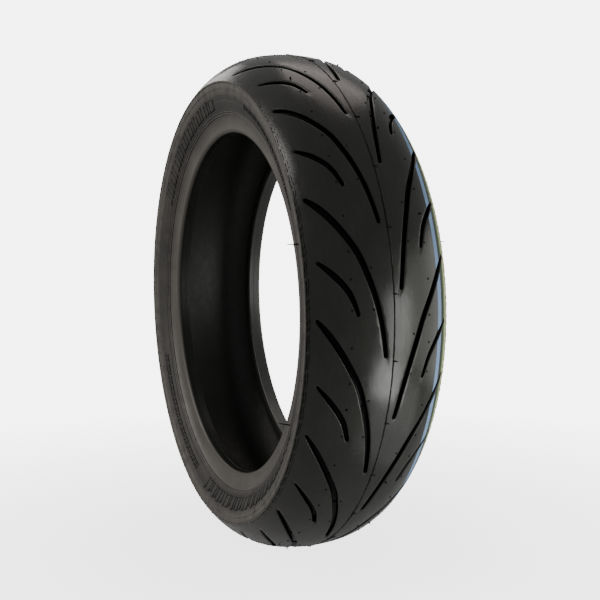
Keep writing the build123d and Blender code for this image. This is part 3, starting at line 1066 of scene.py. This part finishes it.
def mould_line(tree, radius, place, half, dark, wander):
    """Darkness of one broken mould line."""
    away = math(tree, "ABSOLUTE", math(tree, "SUBTRACT", radius, place * MM))
    if wander:
        stray = spread(tree, noise(tree, 110.0, 3.0), 0.3, 0.7, -wander * MM, wander * MM)
        away = math(tree, "ABSOLUTE", math(tree, "ADD", away, stray))
    line = spread(tree, away, half * 0.5 * MM, half * 1.2 * MM, dark, 0.0)
    broken = spread(tree, noise(tree, 60.0, 4.0), 0.35, 0.5, 0.3, 1.0)
    return math(tree, "MULTIPLY", line, broken)


def sidewall_rubber(name="sidewall_rubber", painted_flank_shade=False):
    """Sidewall rubber: fine turned rings, pale edge and foot, patches and dark mould lines, and
    painted shade at the foot of the marking bars' flanks when asked for.
    """
    look = rubber(
        name, (0.019, 0.017, 0.015), (0.04, 0.036, 0.032), 0.52, dust=(0.07, 0.063, 0.055)
    )
    tree, inputs = look.tree, look.surface.inputs
    _, radius = axis_places(tree)
    rings = math(tree, "SINE", math(tree, "MULTIPLY", radius, 2 * pi / turned_ring_pitch))
    ringed = math(tree, "ADD", look.height, math(tree, "MULTIPLY", rings, 0.25))
    connect(tree, look.bump.inputs["Height"], ringed)
    edge = spread(tree, radius, 260.0 * MM, 269.0 * MM, 0.0, 0.85)
    foot = spread(tree, radius, 244.5 * MM, 240.5 * MM, 0.0, 0.5)
    tone = blend(tree, math(tree, "ADD", edge, foot), look.tone, edge_grey)
    patches = spread(tree, noise(tree, 70.0, 6.0, 0.6), 0.48, 0.62, 0.0, 0.5)
    tone = blend(tree, patches, tone, patch_grey)
    for line in mould_lines:
        tone = blend(tree, mould_line(tree, radius, *line), tone, line_black)
    # Painted shade: where a bar rises less than 0.2 mm above the plain wall, at the foot of its
    # flanks, it turns near black and shines less.
    if painted_flank_shade:
        from_centre, _ = away_from(tree, wall_centre)
        height = math(tree, "SUBTRACT", from_centre, wall_radius * MM)
        low = spread(tree, height, 0.0, 0.2 * MM, 1.0, 0.0)
        tone = blend(tree, low, tone, flank_painted_shade)
        shine = spread(tree, low, 0.0, 1.0, rubber_specular, 0.12)
        connect(tree, inputs["Specular IOR Level"], shine)
    connect(tree, inputs["Base Color"], tone)
    return look.material


def paint(name, light, dark):
    """Worn marking paint over rubber."""
    material, tree, surface = shader(name)
    tone = blend(tree, noise(tree, 55.0), colour(*dark), colour(*light))
    worn = spread(tree, noise(tree, 330.0, 6.0, 0.7), 0.6, 0.68, 0.0, 0.8)
    connect(tree, surface.inputs["Base Color"], blend(tree, worn, tone, worn_grey))
    connect(tree, surface.inputs["Roughness"], 0.6)
    bump = add(tree, "ShaderNodeBump", {"Height": noise(tree, 900.0), "Distance": 0.05 * MM})
    connect(tree, surface.inputs["Normal"], bump.outputs["Normal"])
    return material


def wire_steel():
    """Bronze-coated bead wire."""
    material, tree, surface = shader("bead_wire")
    tone = blend(tree, noise(tree, 180.0), colour(0.42, 0.29, 0.15), colour(0.6, 0.46, 0.28))
    connect(tree, surface.inputs["Base Color"], tone)
    connect(tree, surface.inputs["Metallic"], 1.0)
    gloss = spread(tree, noise(tree, 400.0), 0.3, 0.7, 0.25, 0.45)
    connect(tree, surface.inputs["Roughness"], gloss)
    return material


def dress_cad(materials):
    """Materials for the inner CAD nodes that stay."""
    slots = {part["node"]: part["material_slot"] for part in frame["record"]["subparts"]}
    for name, node in frame["nodes"].items():
        node.data.materials.clear()
        node.data.materials.append(materials[slots[name]])


# ---------- studio ----------

camera_distance = 1367.7
camera_azimuth = radians(22.88)
camera_height = radians(3.61)
camera_roll = radians(-0.83)
lens = 62.6
sensor_width = 36.0
shift = (0.0399, 0.0020)
view_depth = 50.0

# (name, place, size, power, tint, target) of each softbox, in metres and watts
lights = (
    ("front", (0.7, 0.25, -0.06), (0.18, 0.26), 0.66, (1.0, 1.0, 0.97), (0.31, 0.0, -0.02)),
    ("panel", (0.55, 0.135, -0.218), (0.15, 0.13), 0.42, (1.0, 1.0, 0.97), (0.31, 0.0, -0.07)),
    ("low", (0.42, 0.16, -0.3), (0.25, 0.25), 0.2, (1.0, 1.0, 0.98), (0.2, 0.0, 0.03)),
    ("right", (0.9, 1.7, -0.1), (2.4, 1.4), 14.0, (1.0, 1.0, 0.93), (0.0, 0.0, 0.0)),
    ("left", (-0.5, -1.45, 0.85), (1.2, 1.2), 25.0, (1.0, 0.96, 0.92), (0.0, 0.0, 0.0)),
    ("top", (-0.3, 0.36, 1.28), (0.75, 0.75), 2.3, (1.0, 0.88, 0.82), (0.18, 0.0, 0.26)),
    ("back", (-1.38, -0.15, 0.86), (0.6, 0.5), 1.9, (1.0, 0.95, 0.9), (0.0, -0.07, 0.29)),
)
sky_light = 0.3
sky_seen = 6.0

# The floor lets some of the background through near the tyre, and all of it farther out
floor_half = 6.0
floor_roughness = 0.9
floor_cover = 0.5
floor_fade = (0.35, 1.1)


def camera():
    """The camera at the photograph's angle."""
    back = Vector((
        cos(camera_height) * cos(camera_azimuth),
        -cos(camera_height) * sin(camera_azimuth),
        sin(camera_height),
    ))
    right = Vector((0, 0, 1)).cross(back).normalized()
    up = back.cross(right)
    level = right * cos(camera_roll) + up * sin(camera_roll)
    top = up * cos(camera_roll) - right * sin(camera_roll)
    data = bpy.data.cameras.new("camera")
    data.lens = lens
    data.sensor_width = sensor_width
    data.shift_x, data.shift_y = shift
    data.clip_end = view_depth
    eye = bpy.data.objects.new("camera", data)
    turn = Matrix((level, top, back)).transposed().to_4x4()
    eye.matrix_world = Matrix.Translation(back * camera_distance * MM) @ turn
    bpy.context.scene.collection.objects.link(eye)
    bpy.context.scene.camera = eye


def soft_light(name, place, size, power, tint, target):
    """A rectangular softbox that faces a target and isn't seen itself."""
    data = bpy.data.lights.new(name, "AREA")
    data.shape = "RECTANGLE"
    data.size, data.size_y = size
    data.energy = power
    data.color = tint
    lamp = bpy.data.objects.new(name, data)
    lamp.location = place
    lamp.visible_camera = False
    facing = Vector(target) - Vector(place)
    lamp.rotation_euler = facing.to_track_quat("-Z", "Y").to_euler()
    bpy.context.scene.collection.objects.link(lamp)


def floor():
    """A pale floor that thins out away from the tyre."""
    low = cad_box[0][2]
    quarters = ((-1, -1), (1, -1), (1, 1), (-1, 1))
    corners = [(x * floor_half, y * floor_half, low) for x, y in quarters]
    mesh = bpy.data.meshes.new("floor")
    mesh.from_pydata(corners, [], [(0, 1, 2, 3)])
    material, tree, surface = shader("floor")
    tone = blend(tree, noise(tree, 3.0), colour(0.7, 0.7, 0.7), colour(0.74, 0.74, 0.74))
    connect(tree, surface.inputs["Base Color"], tone)
    connect(tree, surface.inputs["Roughness"], floor_roughness)
    reach = add(tree, "ShaderNodeVectorMath", {0: here(tree)}, operation="LENGTH")
    cover = spread(tree, reach.outputs["Value"], *floor_fade, floor_cover, 0.0)
    connect(tree, surface.inputs["Alpha"], cover)
    mesh.materials.append(material)
    plane = bpy.data.objects.new("floor", mesh)
    bpy.context.scene.collection.objects.link(plane)


def surroundings():
    """A dim white world for the tyre's light, which the camera sees as a bright one."""
    world = bpy.data.worlds.new("studio")
    world.use_nodes = True
    tree = world.node_tree
    sky = tree.nodes["Background"]
    seen = add(tree, "ShaderNodeLightPath").outputs["Is Camera Ray"]
    connect(tree, sky.inputs["Strength"], spread(tree, seen, 0.0, 1.0, sky_light, sky_seen))
    connect(tree, sky.inputs["Color"], colour(1.0, 1.0, 1.0))
    bpy.context.scene.world = world


# ---------- assembly ----------

# (name, dark tone, light tone, roughness, unevenness of the gloss, dust)
rubbers = (
    ("bead_rubber", (0.056, 0.052, 0.047), (0.086, 0.08, 0.072), 0.45, 0.07, (0.12, 0.11, 0.1)),
    ("liner_rubber", (0.009, 0.0098, 0.0074), (0.018, 0.0195, 0.0148), 0.4, 0.03),
    ("core_rubber", (0.02, 0.02, 0.02), (0.03, 0.03, 0.03), 0.6),
    ("ply_fabric", (0.04, 0.034, 0.024), (0.06, 0.05, 0.036), 0.65),
    ("belt_cord", (0.05, 0.04, 0.024), (0.08, 0.066, 0.04), 0.6),
)
# (name, dark tone, light tone, shine)
bead_bases = (
    ("chafer_rubber", (0.008, 0.0088, 0.0078), (0.014, 0.015, 0.0135), 0.2),
    # A paler, shinier copy of the chafer rubber: painted light on the far bead base, where the
    # light from the +Y side falls.
    ("chafer_painted_light", (0.02, 0.021, 0.02), (0.034, 0.036, 0.034), 0.6),
)
# (name, light tone, dark tone)
paints = (
    ("paint_blue", (0.2, 0.32, 0.5), (0.13, 0.22, 0.38)),
    ("paint_green", (0.13, 0.3, 0.06), (0.07, 0.17, 0.04)),
    ("paint_cream", (0.56, 0.55, 0.32), (0.4, 0.4, 0.22)),
)
materials = {
    "tread_rubber": tread_rubber(),
    "sidewall_rubber": sidewall_rubber(),
    # The bars' rubber, with painted shade at the foot of their flanks
    "marking_rubber": sidewall_rubber("marking_rubber", painted_flank_shade=True),
    # Near-black flash rubber, its darkness partly painted shade round the vent stubs
    "flash_rubber": flash_rubber(),
    "bead_wire": wire_steel(),
    **{look[0]: rubber(*look).material for look in rubbers},
    **{look[0]: bead_base(*look) for look in bead_bases},
    **{look[0]: paint(*look) for look in paints},
}

dress_cad(materials)
tread(materials["tread_rubber"])
for name, (low, high) in stripes.items():
    painted_stripe(name, low, high, materials[name.replace("stripe", "paint")])
for side, name in ((-1, "left"), (1, "right")):
    ring_piece(
        f"wall_{name}", on_side(sidewall_outline(), side),
        [f"sidewall_{name}", f"rim_lines_{name}", f"edge_rib_{name}"],
        materials["sidewall_rubber"], wall_segments,
    )
    ring_piece(
        f"flange_{name}", on_side(cushion_outline(), side),
        [f"rim_cushion_{name}"], materials["bead_rubber"],
    )
    ring_piece(
        f"bead_{name}", on_side(bead_outline(), side),
        # The +Y bead base takes the paler copy of the chafer rubber, as painted light.
        [f"chafer_{name}"], materials["chafer_painted_light" if side > 0 else "chafer_rubber"],
    )
    marking_bars(side, materials["marking_rubber"])
    whiskers(side, materials["flash_rubber"])
    edge_flash(side, materials["flash_rubber"])
ring_piece("liner", liner_outline(), ["inner_liner"], materials["liner_rubber"])
tread_vents(materials["flash_rubber"])
crown_flash(materials["flash_rubber"])
floor()
surroundings()
camera()
for light in lights:
    soft_light(*light)
